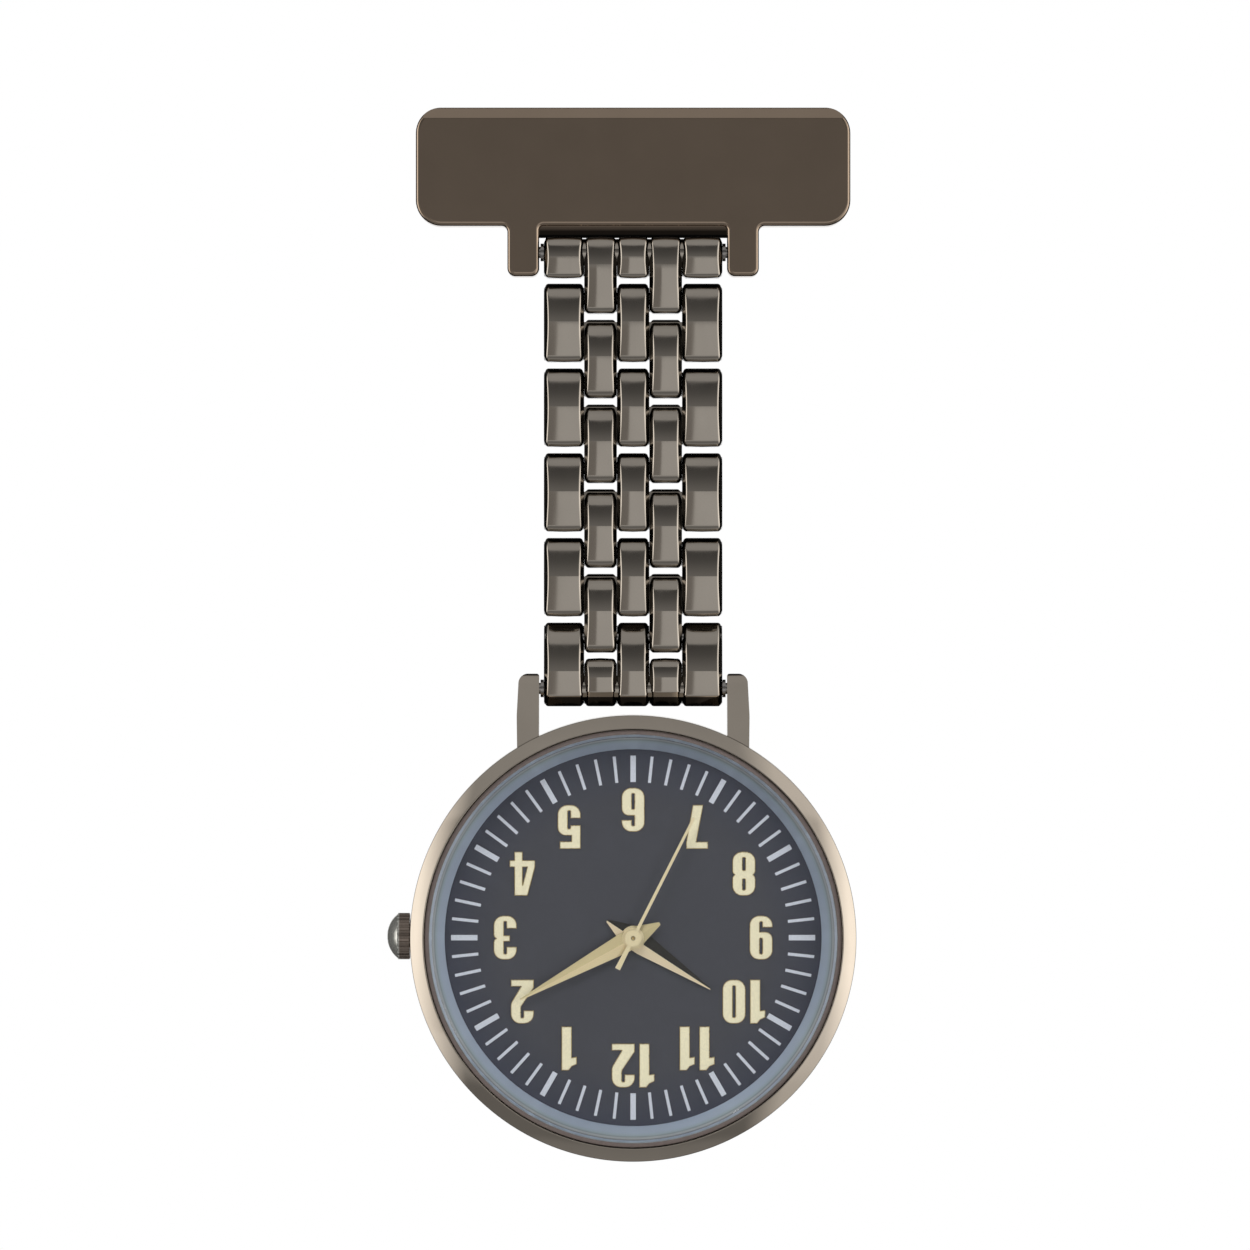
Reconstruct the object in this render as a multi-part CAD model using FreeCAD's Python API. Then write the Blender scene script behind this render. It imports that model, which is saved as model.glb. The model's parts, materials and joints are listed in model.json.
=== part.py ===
import FreeCAD, Part

# Nurse's fob watch: a brooch bar with a safety catch, a jointed bracelet on spring bars, and a
# quartz watch head whose dial is set upside down so that the wearer can read it.
# Millimetres. +Z is up, the dial faces -Y, and the origin is on the brooch needle's axis,
# midway along the bar. The watch hangs straight down from the needle.

import math
import os

# ---------------------------------------------------------------- driving dimensions
BAR_WIDTH = 32.15  # brooch bar, along X
BAR_TOP = 3.39  # its top edge, above the needle
BAR_BOTTOM = -5.38
BAR_BACK_Y = -1.6
BAR_FRONT_Y = -3.8
BAR_CORNER = 1.9
BAR_EDGE = 0.3  # rounding of the front edge
BAR_BEVEL = (0.95, 0.4)  # soft bevel along the top: its height and its depth
RAIL_DROP = 0.63  # the recessed rail between the fingers
RAIL_FRONT_Y = -3.5
RAIL_BEVEL = (0.5, 0.2)  # along its bottom: its height and its depth
RAIL_GROOVE = 1.42  # radius of the hollow under it, in which the upper end link turns

FORK_GAP = 13.9  # between the bar's two fingers, and between the case's two lugs
FINGER_WIDTH = 2.35
FINGER_END = -9.11
LUG_WIDTH = 1.6

PIVOT_Y = -2.7  # plane of the spring bars and link pins
UPPER_BAR_Z = -7.3
FIRST_PIN_Z = -10.72
LINK_PITCH = 6.28
LINK_COUNT = 4
LOWER_BAR_Z = -39.6

LINK_HALF_WIDTH = 6.6
OUTER_COLUMN = (3.66, 6.6)
INNER_COLUMN = (1.24, 3.58)
CENTRE_COLUMN = (-1.16, 1.16)
LINK_HALF_THICKNESS = 1.12
LINK_DOME = 0.25  # how far the middle of a link's face stands proud
LINK_FLANK = (0.22, 0.5)  # how far a block's flank leans in, and over what depth
LINK_EDGE = 0.12  # rounding along the sides of a link's face
LINK_CORNER = 0.35
LINK_RELIEF = 1.54  # from a pin to the end of the next block in line
PIN_RADIUS = 0.45
PIN_CLEARANCE = 0.03

CASE_RADIUS = 16.5
CASE_Z = -58.0  # centre of the watch head
CASE_BACK_Y = 0.6  # heights in the watch head are measured from here, towards the dial
DIAL_TOP = 4.3
STEM_HEIGHT = 2.1

# the spring bars
TUBE_RADIUS = 0.75
TUBE_BORE = 0.55
TUBE_HALF_LENGTH = 6.1
PIVOT_TIP_RADIUS = 0.42
PIVOT_HOLE_RADIUS = 0.45
PIVOT_HOLE_DEPTH = 1.0

# the needle and its hinge and catch
NEEDLE_RADIUS = 0.4
NEEDLE_HINGE_X = -12.2
NEEDLE_SHAFT = (-10.6, 8.8)
NEEDLE_TIP_X = 13.2
CATCH_X = (11.2, 13.2)

# the movement: gear centres from the dial's centre, as (x, z)
MOVEMENT_RADIUS = 10.7
THIRD_CENTRE = (1.8, -3.1177)
FIFTH_CENTRE = (-1.8, 3.1177)
ROTOR_CENTRE = (-4.5574, 3.6039)
MINUTE_WHEEL_CENTRE = (-2.0785, -1.2)
CELL_CENTRE = (5.65, 3.96)
CELL_RADIUS = 3.4

# the time shown, as degrees clockwise from 12
HOUR_ANGLE = 303.5
MINUTE_ANGLE = 61.4
SECOND_ANGLE = 206.8

NODES = {}


# ---------------------------------------------------------------- helpers
def vec(x, y, z):
    return FreeCAD.Vector(x, y, z)


def unit(vector):
    return vector * (1.0 / vector.Length)


def rounded_wire(corners, place):
    """A closed wire through corners (u, v) or (u, v, radius), with tangent arcs at the rounded ones."""
    points = [vec(c[0], c[1], 0) for c in corners]
    stretches = []
    for i, corner in enumerate(corners):
        here = points[i]
        radius = corner[2] if len(corner) > 2 else 0
        if not radius:
            stretches.append((here, None, here))
            continue
        back = unit(points[i - 1] - here)
        ahead = unit(points[(i + 1) % len(points)] - here)
        half = back.getAngle(ahead) / 2
        reach = radius / math.tan(half)
        middle = here + unit(back + ahead) * (radius / math.sin(half) - radius)
        stretches.append((here + back * reach, middle, here + ahead * reach))
    edges = []
    for i, (start, middle, end) in enumerate(stretches):
        last = stretches[i - 1][2]
        if (start - last).Length > 1e-6:
            edges.append(Part.LineSegment(place(last.x, last.y), place(start.x, start.y)).toShape())
        if middle is not None:
            arc = Part.Arc(place(start.x, start.y), place(middle.x, middle.y), place(end.x, end.y))
            edges.append(arc.toShape())
    return Part.Wire(edges)


def prism(corners, place, along):
    return Part.Face(rounded_wire(corners, place)).extrude(along)


def plan_prism(corners, y_front, y_back):
    """A prism whose outline is seen from the front, as (x, z)."""
    return prism(corners, lambda u, v: vec(u, y_back, v), vec(0, y_front - y_back, 0))


def side_prism(corners, x_low, x_high):
    """A prism whose outline is seen from the side, as (distance in front of the pivot plane, z)."""
    return prism(corners, lambda u, v: vec(x_low, PIVOT_Y - u, v), vec(x_high - x_low, 0, 0))


def rod_x(radius, x_low, x_high, y, z):
    return Part.makeCylinder(radius, x_high - x_low, vec(x_low, y, z), vec(1, 0, 0))


def turned_x(profile, y, z):
    """A solid turned about an axis along X. The profile's points are (x, radius)."""
    wire = rounded_wire(profile, lambda u, v: vec(u, y, z + v))
    return Part.Face(wire).revolve(vec(0, y, z), vec(1, 0, 0), 360)


def turned(profile, centre=(0, 0)):
    """A solid turned about an axis through the watch head. The profile's points are (radius, height)."""
    x, z = centre[0], CASE_Z + centre[1]
    wire = rounded_wire(profile, lambda u, v: vec(x + u, CASE_BACK_Y - v, z))
    return Part.Face(wire).revolve(vec(x, 0, z), vec(0, 1, 0), 360)


def disc(radius, low, high, centre=(0, 0)):
    base = vec(centre[0], CASE_BACK_Y - low, CASE_Z + centre[1])
    return Part.makeCylinder(radius, high - low, base, vec(0, -1, 0))


def ring(outer, inner, low, high, centre=(0, 0)):
    return disc(outer, low, high, centre).cut(disc(inner, low - 1, high + 1, centre))


def plate(corners, low, high):
    """A flat piece inside the watch head, its outline as (x, z) from the dial's centre."""
    return prism(
        corners,
        lambda u, v: vec(u, CASE_BACK_Y - low, CASE_Z + v),
        vec(0, low - high, 0),
    )


def fused(shapes):
    whole = shapes[0]
    for shape in shapes[1:]:
        whole = whole.fuse(shape)
    return whole.removeSplitter()


def keep(name, *shapes):
    NODES[name] = Part.makeCompound([s for shape in shapes for s in shape.Solids])


# ---------------------------------------------------------------- brooch
def brooch_bar():
    half, finger_in = BAR_WIDTH / 2, FORK_GAP / 2
    finger_out = finger_in + FINGER_WIDTH
    right = [
        (half, BAR_TOP, BAR_CORNER),
        (half, BAR_BOTTOM, BAR_CORNER),
        (finger_out, BAR_BOTTOM, 0.45),
        (finger_out, FINGER_END, 0.6),
        (finger_in, FINGER_END, 0.6),
        (finger_in, BAR_BOTTOM, 0.35),
    ]
    left = [(-c[0], *c[1:]) for c in reversed(right)]
    body = plan_prism(right + left, BAR_FRONT_Y, BAR_BACK_Y)
    rim = [e for e in body.Edges if all(abs(v.Y - BAR_FRONT_Y) < 1e-6 for v in e.Vertexes)]
    body = body.makeFillet(BAR_EDGE, rim)
    face, back = PIVOT_Y - BAR_FRONT_Y, PIVOT_Y - BAR_BACK_Y
    height, depth = BAR_BEVEL
    profile = [
        (back - 1, FINGER_END - 1),
        (face + 1, FINGER_END - 1),
        (face + 1, BAR_TOP - height),
        (face, BAR_TOP - height, 0.4),
        (face - depth, BAR_TOP, 0.2),
        (back - 1, BAR_TOP),
    ]
    body = body.common(side_prism(profile, -BAR_WIDTH, BAR_WIDTH))
    front, bottom = PIVOT_Y - RAIL_FRONT_Y, BAR_BOTTOM - RAIL_DROP
    height, depth = RAIL_BEVEL
    section = [
        (back, BAR_BOTTOM + 0.2),
        (front, BAR_BOTTOM + 0.2),
        (front, bottom + height),
        (front - depth, bottom),
        (0, bottom),
        (0, UPPER_BAR_Z + LINK_HALF_THICKNESS),
        (back, UPPER_BAR_Z + LINK_HALF_THICKNESS),
    ]
    rail = side_prism(section, -finger_in - 0.1, finger_in + 0.1)
    groove = rod_x(RAIL_GROOVE, -finger_in, finger_in, PIVOT_Y, UPPER_BAR_Z)
    body = body.fuse(rail.cut(groove)).removeSplitter()
    hole_end = finger_in + PIVOT_HOLE_DEPTH
    holes = rod_x(PIVOT_HOLE_RADIUS, -hole_end, hole_end, PIVOT_Y, UPPER_BAR_Z)
    keep("brooch_bar", body.cut(holes))


def needle_hinge():
    ear_radius, ear_low, ear_high = 0.9, 0.5, 0.9
    base = Part.makeBox(2.4, 0.4, 2 * ear_high, vec(NEEDLE_HINGE_X - 1.2, BAR_BACK_Y, -ear_high))
    ears = []
    for z in (ear_low, -ear_high):
        height = ear_high - ear_low
        ears.append(Part.makeCylinder(ear_radius, height, vec(NEEDLE_HINGE_X, 0, z)))
        foot = vec(NEEDLE_HINGE_X - ear_radius, BAR_BACK_Y, z)
        ears.append(Part.makeBox(2 * ear_radius, -BAR_BACK_Y, height, foot))
    rivet_hole = Part.makeCylinder(0.3, 4, vec(NEEDLE_HINGE_X, 0, -2))
    keep("needle_hinge_bracket", fused([base, *ears]).cut(rivet_hole))

    shank = Part.makeCylinder(0.3, 2.3, vec(NEEDLE_HINGE_X, 0, -1.15))
    heads = [Part.makeCylinder(0.5, 0.25, vec(NEEDLE_HINGE_X, 0, z)) for z in (0.9, -1.15)]
    keep("needle_hinge_rivet", fused([shank, *heads]))


def needle():
    start, end = NEEDLE_SHAFT
    shaft = turned_x(
        [
            (start, 0),
            (start, NEEDLE_RADIUS),
            (end, NEEDLE_RADIUS),
            (NEEDLE_TIP_X, 0.06),
            (NEEDLE_TIP_X, 0),
        ],
        0,
        0,
    )
    knuckle = Part.makeCylinder(0.85, 0.9, vec(NEEDLE_HINGE_X, 0, -0.45))
    neck = Part.makeBox(start - NEEDLE_HINGE_X, 1.0, 0.9, vec(NEEDLE_HINGE_X, -0.5, -0.45))
    rivet_hole = Part.makeCylinder(0.33, 4, vec(NEEDLE_HINGE_X, 0, -2))
    keep("brooch_needle", fused([knuckle, neck, shaft]).cut(rivet_hole))


def safety_catch():
    start, end = CATCH_X
    length = end - start
    barrel = rod_x(1.2, start, end, 0, 0)
    base = Part.makeBox(length, 0.7, 2.4, vec(start, BAR_BACK_Y, -1.2))
    bore = rod_x(0.85, start - 1, end + 1, 0, 0)
    mouth = Part.makeBox(length + 2, 2, 0.8, vec(start - 1, 0, -0.4))
    keep("catch_bracket", barrel.fuse(base).cut(bore).cut(mouth))

    gap = 0.05
    drum = rod_x(0.8, start - gap, end + gap, 0, 0)
    inner_flange = rod_x(1.0, start - gap - 0.3, start - gap, 0, 0)
    outer_flange = rod_x(1.15, end + gap, end + gap + 0.4, 0, 0)
    tab = Part.makeBox(0.4, 0.8, 2.1, vec(end + gap, -0.4, 0))
    tab = tab.makeFillet(0.15, [e for e in tab.Edges if e.CenterOfMass.z > 2.0])
    slot_length = length + gap + 0.4
    throat = rod_x(0.35, start - 0.4, start - 0.4 + slot_length, 0, 0)
    slot = Part.makeBox(slot_length, 2, 0.7, vec(start - 0.4, 0, -0.35))
    rotor = fused([drum, inner_flange, outer_flange, tab])
    keep("catch_rotor", rotor.cut(throat).cut(slot))


# ---------------------------------------------------------------- spring bars
def spring_bar(name, z):
    outside = rod_x(TUBE_RADIUS, -TUBE_HALF_LENGTH, TUBE_HALF_LENGTH, PIVOT_Y, z)
    inside = rod_x(TUBE_BORE, -TUBE_HALF_LENGTH, TUBE_HALF_LENGTH, PIVOT_Y, z)
    keep(f"{name}_tube", outside.cut(inside))

    gap_side = FORK_GAP / 2
    tip_end = gap_side + PIVOT_HOLE_DEPTH - 0.1
    profile = [
        (3.2, 0),
        (3.2, 0.5),
        (TUBE_HALF_LENGTH + 0.05, 0.5),
        (TUBE_HALF_LENGTH + 0.05, 0.72),
        (6.4, 0.72),
        (6.4, 0.5),
        (6.62, 0.5),
        (6.62, 0.66),
        (6.85, 0.66),
        (6.85, PIVOT_TIP_RADIUS),
        (tip_end, PIVOT_TIP_RADIUS, 0.12),
        (tip_end, 0),
    ]
    mirrored = [(-c[0], *c[1:]) for c in reversed(profile)]
    keep(f"{name}_pivots", turned_x(profile, PIVOT_Y, z), turned_x(mirrored, PIVOT_Y, z))
    keep(f"{name}_spring", coil_spring(-3.1, 3.1, 0.36, 0.12, PIVOT_Y, z))


def coil_spring(x_low, x_high, coil_radius, wire_radius, y, z):
    """A helical spring along X, its wire's ends square."""
    length = x_high - x_low - 2 * wire_radius
    turns = 9
    helix = Part.makeHelix(length / turns, length, coil_radius)
    start = helix.Edges[0].valueAt(helix.Edges[0].FirstParameter)
    tangent = helix.Edges[0].tangentAt(helix.Edges[0].FirstParameter)
    circle = Part.Wire(Part.makeCircle(wire_radius, start, tangent))
    wire = Part.Wire(helix.Edges).makePipeShell([circle], True, True)
    wire.rotate(vec(0, 0, 0), vec(0, 1, 0), 90)
    wire.translate(vec(x_low + wire_radius, y, z))
    return wire


# ---------------------------------------------------------------- bracelet
def lobe(column, side_profile, corner):
    """One raised block of a link: its side outline cut to its column, with rounded corners and sides."""
    x_low, x_high = column
    levels = [c[1] for c in side_profile]
    low, high = min(levels), max(levels)
    reach = LINK_HALF_THICKNESS + LINK_DOME
    side = side_prism(side_profile, x_low - 1, x_high + 1)
    face = [(x_low, low, corner), (x_high, low, corner), (x_high, high, corner), (x_low, high, corner)]
    lean, depth = LINK_FLANK
    section = [
        (x_low, -LINK_HALF_THICKNESS, 0.1),
        (x_high, -LINK_HALF_THICKNESS, 0.1),
        (x_high, reach - depth),
        (x_high - lean, reach, LINK_EDGE),
        (x_low + lean, reach, LINK_EDGE),
        (x_low, reach - depth),
    ]
    seen_from_front = plan_prism(face, PIVOT_Y - 2, PIVOT_Y + 2)
    seen_from_top = prism(
        section, lambda u, v: vec(u, PIVOT_Y - v, low - 1), vec(0, 0, high - low + 2)
    )
    return side.common(seen_from_front).common(seen_from_top)


def block_profile(top, bottom, round_top, round_bottom):
    """A link block's side outline. A rounded end is a half circle; any other has small corners."""
    t = LINK_HALF_THICKNESS
    top_front = t if round_top else 0.4
    bottom_front = t if round_bottom else 0.4
    middle = (top + bottom) / 2
    half_length = (top - bottom) / 2
    crown_reach = 0.6 * (half_length - max(top_front, bottom_front) - 0.15)
    return [
        (-t, bottom, t if round_bottom else 0.2),
        (t, bottom, bottom_front),
        (t + LINK_DOME, middle, crown_reach * half_length / LINK_DOME),
        (t, top, top_front),
        (-t, top, t if round_top else 0.2),
    ]


def columns(column):
    """A column and its mirror image."""
    low, high = column
    return [(low, high), (-high, -low)]


def link_bores(z_press, z_free):
    """A press hole for the link's own pin at z_press, and a running hole for the next pin at z_free."""
    holes = []
    if z_press is not None:
        for column in columns(OUTER_COLUMN):
            holes.append(rod_x(PIN_RADIUS, column[0] - 1, column[1] + 1, PIVOT_Y, z_press))
        free = PIN_RADIUS + PIN_CLEARANCE
        holes.append(rod_x(free, CENTRE_COLUMN[0] - 1, CENTRE_COLUMN[1] + 1, PIVOT_Y, z_press))
    if z_free is not None:
        free = PIN_RADIUS + PIN_CLEARANCE
        for column in columns(INNER_COLUMN):
            holes.append(rod_x(free, column[0] - 0.5, column[1] + 0.5, PIVOT_Y, z_free))
    return holes


def web(top, bottom, front, back):
    """The recessed bar that joins a link's five blocks."""
    inset = 0.3
    corners = [(-back, bottom, 0.2), (front, bottom, 0.3), (front, top, 0.3), (-back, top, 0.2)]
    return side_prism(corners, -LINK_HALF_WIDTH + inset, LINK_HALF_WIDTH - inset)


def middle_link(number):
    upper = FIRST_PIN_Z - LINK_PITCH * (number - 1)
    lower = upper - LINK_PITCH
    long_side = block_profile(upper + LINK_HALF_THICKNESS, upper - 4.7, True, False)
    inner_side = block_profile(upper - LINK_RELIEF, lower - LINK_HALF_THICKNESS, False, True)
    blocks = [lobe(c, long_side, LINK_CORNER) for c in columns(OUTER_COLUMN)]
    blocks.append(lobe(CENTRE_COLUMN, long_side, LINK_CORNER))
    blocks += [lobe(c, inner_side, LINK_CORNER) for c in columns(INNER_COLUMN)]
    blocks.append(web(upper - 1.75, upper - 4.4, 0.5, 0.9))
    casting = fused(blocks)
    for hole in link_bores(upper, lower):
        casting = casting.cut(hole)
    keep(f"link_{number}", casting)


def end_barrel(z, radius):
    """The rolled barrel of an end link, round its spring bar."""
    inset = 0.1
    return rod_x(radius, -LINK_HALF_WIDTH + inset, LINK_HALF_WIDTH - inset, PIVOT_Y, z)


def upper_end_link():
    top = UPPER_BAR_Z + LINK_HALF_THICKNESS
    long_bottom = FIRST_PIN_Z - LINK_HALF_THICKNESS
    short_side = block_profile(top, UPPER_BAR_Z - 1.9, True, False)
    inner_side = block_profile(top, long_bottom, True, True)
    blocks = [lobe(c, short_side, LINK_CORNER) for c in [*columns(OUTER_COLUMN), CENTRE_COLUMN]]
    blocks += [lobe(c, inner_side, LINK_CORNER) for c in columns(INNER_COLUMN)]
    blocks.append(end_barrel(UPPER_BAR_Z, 1.0))
    casting = fused(blocks)
    casting = casting.cut(rod_x(TUBE_RADIUS + 0.05, -8, 8, PIVOT_Y, UPPER_BAR_Z))
    for hole in link_bores(None, FIRST_PIN_Z):
        casting = casting.cut(hole)
    keep("upper_end_link", casting)


def lower_end_link():
    upper = FIRST_PIN_Z - LINK_PITCH * LINK_COUNT
    bottom = LOWER_BAR_Z - LINK_HALF_THICKNESS - 0.2
    long_side = block_profile(upper + LINK_HALF_THICKNESS, bottom, True, True)
    short_side = block_profile(upper - LINK_RELIEF, bottom, False, True)
    blocks = [lobe(c, long_side, LINK_CORNER) for c in [*columns(OUTER_COLUMN), CENTRE_COLUMN]]
    blocks += [lobe(c, short_side, LINK_CORNER) for c in columns(INNER_COLUMN)]
    blocks.append(end_barrel(LOWER_BAR_Z, 1.22))
    casting = fused(blocks)
    casting = casting.cut(rod_x(TUBE_RADIUS + 0.05, -8, 8, PIVOT_Y, LOWER_BAR_Z))
    for hole in link_bores(upper, None):
        casting = casting.cut(hole)
    keep("lower_end_link", casting)


def link_pin(number):
    z = FIRST_PIN_Z - LINK_PITCH * (number - 1)
    half = LINK_HALF_WIDTH - 0.05
    keep(f"link_pin_{number}", rod_x(PIN_RADIUS, -half, half, PIVOT_Y, z))


# ---------------------------------------------------------------- watch case
def case_body():
    shell = turned(
        [
            (14.9, 0.35),
            (15.4, 0.35, 0.2),
            (16.25, 1.3, 1.2),
            (CASE_RADIUS, 3.0, 4.0),
            (CASE_RADIUS - 0.1, 5.0),
            (15.1, 5.0),
            (15.1, 3.95),
            (13.75, 3.95),
            (13.75, 1.7),
            (14.9, 1.7),
        ]
    )
    lugs = []
    for side in (1, -1):
        inner, outer = side * FORK_GAP / 2, side * (FORK_GAP / 2 + LUG_WIDTH)
        face = [
            (inner, CASE_Z + 13.9),
            (outer, CASE_Z + 13.4),
            (outer + side * 0.05, LOWER_BAR_Z - 2.0, 6.0),
            (outer - side * 0.1, LOWER_BAR_Z + 1.1, 0.7),
            (inner, LOWER_BAR_Z + 1.1, 0.2),
        ]
        profile = [
            (-1.3, CASE_Z + 12.5),
            (3.0, CASE_Z + 12.5),
            (1.0, LOWER_BAR_Z + 0.4, 1.5),
            (0.7, LOWER_BAR_Z + 1.1, 0.5),
            (-1.1, LOWER_BAR_Z + 1.1, 0.9),
            (-1.3, LOWER_BAR_Z - 1.0, 2.0),
        ]
        low_x, high_x = min(inner, outer) - 1, max(inner, outer) + 1
        front_view = plan_prism(face, PIVOT_Y - 3, PIVOT_Y + 3)
        lugs.append(front_view.common(side_prism(profile, low_x, high_x)))
    hole_end = FORK_GAP / 2 + PIVOT_HOLE_DEPTH
    bar_holes = rod_x(PIVOT_HOLE_RADIUS, -hole_end, hole_end, PIVOT_Y, LOWER_BAR_Z)
    tube_hole = rod_x(0.9, -CASE_RADIUS - 1, -14.95, stem_y(), CASE_Z)
    stem_hole = rod_x(0.4, -CASE_RADIUS, -13, stem_y(), CASE_Z)
    bezel_room = disc(CASE_RADIUS - 0.02, 5.0, 8)
    case = fused([shell, *[lug.cut(bezel_room) for lug in lugs]])
    keep("case_body", case.cut(bar_holes).cut(tube_hole).cut(stem_hole))


def stem_y():
    return CASE_BACK_Y - STEM_HEIGHT


def bezel_and_crystal():
    keep(
        "bezel",
        turned(
            [
                (15.34, 5.0),
                (CASE_RADIUS - 0.1, 5.0),
                (CASE_RADIUS - 0.05, 6.25, 0.12),
                (15.48, 6.9, 0.08),
                (15.34, 6.76),
            ]
        ),
    )
    keep("crystal_gasket", ring(15.34, 15.04, 5.0, 6.6))
    keep("crystal", turned([(0, 5.72), (15.04, 5.72), (15.04, 6.8), (14.82, 7.0), (0, 7.0)]))
    keep(
        "dial_ring",
        turned([(13.93, 4.3), (15.04, 4.3), (15.04, 5.72), (14.86, 5.72), (13.93, 4.5)]),
    )


def case_back():
    keep(
        "case_back",
        turned(
            [
                (0, 0),
                (14.6, 0, 0.6),
                (15.3, 0.35),
                (14.9, 0.35),
                (14.9, 1.35),
                (14.1, 1.35),
                (14.1, 0.75),
                (0, 0.75),
            ]
        ),
    )
    keep("case_back_gasket", ring(14.85, 14.15, 1.35, 1.7))


def crown_parts():
    y, z = stem_y(), CASE_Z
    tube_in, tube_out = -14.95, -17.3
    tube = rod_x(0.9, tube_out, tube_in, y, z)
    keep("crown_tube", tube.cut(rod_x(0.42, tube_out - 1, tube_in + 1, y, z)))

    crown = turned_x(
        [
            (-16.54, 1.22),
            (-16.54, 1.64),
            (-16.6, 1.72),
            (-17.42, 1.72),
            (-17.49, 1.64),
            (-18.25, 1.0, 2.0),
            (-18.25, 0),
            (-17.42, 0),
            (-17.42, 1.22),
        ],
        y,
        z,
    )
    flutes = 26
    for i in range(flutes):
        angle = 2 * math.pi * i / flutes
        at_y = y + 1.76 * math.cos(angle)
        at_z = z + 1.76 * math.sin(angle)
        crown = crown.cut(rod_x(0.12, -17.5, -16.4, at_y, at_z))
    keep("crown", crown.cut(rod_x(0.35, -17.9, -17.0, y, z)))

    seal = Part.makeTorus(1.06, 0.15, vec(-16.8, y, z), vec(1, 0, 0))
    keep("crown_gasket", seal)

    groove = (-7.95, -7.45)
    keep(
        "stem",
        turned_x(
            [
                (-17.9, 0),
                (-17.9, 0.35),
                (groove[0], 0.35),
                (groove[0], 0.18),
                (groove[1], 0.18),
                (groove[1], 0.35),
                (-4.4, 0.35, 0.1),
                (-4.4, 0),
            ],
            y,
            z,
        ),
    )


# ---------------------------------------------------------------- dial
DIGIT_HEIGHT = 3.24
DIGIT_WIDTH = 1.7
SLOT_LOW, SLOT_HIGH = 0.75, 0.95  # sides of a digit's narrow counter


def slot(low, high):
    return [(SLOT_LOW, low, 0.08), (SLOT_HIGH, low, 0.08), (SLOT_HIGH, high, 0.08), (SLOT_LOW, high, 0.08)]


def digit(number):
    """(width, outline, counters) of a condensed bold digit, from its lower left corner."""
    w, h, left, right, bulge = DIGIT_WIDTH, DIGIT_HEIGHT, SLOT_LOW, SLOT_HIGH, 0.72
    if number == 0:
        outline = [(0, 0, bulge), (w, 0, bulge), (w, h, bulge), (0, h, bulge)]
        return w, outline, [slot(0.45, h - 0.45)]
    if number == 1:
        flag = 0.37
        stem = flag + 0.76
        outline = [
            (flag, 0),
            (stem, 0),
            (stem, h),
            (flag + 0.23, h),
            (flag, 0.91 * h),
            (0, 0.86 * h),
            (0, 0.69 * h),
            (flag, 0.71 * h),
        ]
        return stem, outline, []
    if number == 2:
        outline = [
            (0, 0),
            (w, 0),
            (w, 0.5),
            (0.95, 0.5),
            (w, 1.75, 0.7),
            (w, h, bulge),
            (0, h, bulge),
            (0, 2.28),
            (left, 2.28),
            (left, 2.82, 0.08),
            (right, 2.82, 0.08),
            (right, 2.0, 0.3),
            (0, 0.6),
        ]
        return w, outline, []
    if number == 3:
        outline = [
            (0, 0, bulge),
            (w, 0, bulge),
            (w, 1.55, 0.3),
            (w - 0.2, 1.68),
            (w, 1.81, 0.3),
            (w, h, bulge),
            (0, h, bulge),
            (0, 2.3),
            (left, 2.3),
            (left, 2.82, 0.08),
            (right, 2.82, 0.08),
            (right, 1.9),
            (0.5, 1.9),
            (0.5, 1.46),
            (right, 1.46),
            (right, 0.42, 0.08),
            (left, 0.42, 0.08),
            (left, 0.94),
            (0, 0.94),
        ]
        return w, outline, []
    if number == 4:
        stem_left, stem_right, bar_low, bar_high = 0.92, 1.53, 0.63, 1.13
        outline = [
            (stem_left, 0),
            (stem_right, 0),
            (stem_right, bar_low),
            (1.88, bar_low),
            (1.88, bar_high),
            (stem_right, bar_high),
            (stem_right, h),
            (0.55, h),
            (0, bar_high),
            (0, bar_low),
            (stem_left, bar_low),
        ]
        return 1.88, outline, [[(0.58, bar_high), (stem_left, bar_high), (stem_left, 2.45)]]
    if number == 5:
        outline = [
            (0, 0, bulge),
            (w, 0, bulge),
            (w, 2.25, 0.6),
            (0.68, 2.25),
            (0.68, 2.7),
            (1.55, 2.7),
            (1.55, h),
            (0, h),
            (0, 1.5),
            (left, 1.5),
            (left, 1.76, 0.08),
            (right, 1.76, 0.08),
            (right, 0.42, 0.08),
            (left, 0.42, 0.08),
            (left, 0.98),
            (0, 0.98),
        ]
        return w, outline, []
    if number == 7:
        outline = [(0.34, 0), (1.12, 0), (1.61, 2.75), (1.61, h), (0, h), (0, 2.72), (0.86, 2.72)]
        return 1.61, outline, []
    if number == 8:
        waist = [(w, 1.58, 0.4), (w - 0.17, 1.7), (w, 1.82, 0.4)]
        outline = [(0, 0, bulge), (w, 0, bulge), *waist, (w, h, bulge), (0, h, bulge)]
        outline += [(w - c[0], *c[1:]) for c in reversed(waist)]
        return w, outline, [slot(0.42, 1.38), slot(2.0, 2.82)]
    six = [
        (0, 0, bulge),
        (w, 0, bulge),
        (w, 2.05, 0.55),
        (left, 2.05),
        (left, 2.8, 0.08),
        (right, 2.8, 0.08),
        (right, 2.38),
        (w, 2.38),
        (w, h, bulge),
        (0, h, bulge),
    ]
    counter = slot(0.42, 1.58)
    if number == 6:
        return w, six, [counter]
    return w, half_turn(six), [half_turn(counter)]


def half_turn(corners):
    return [(DIGIT_WIDTH - c[0], DIGIT_HEIGHT - c[1], *c[2:]) for c in corners]


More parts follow.
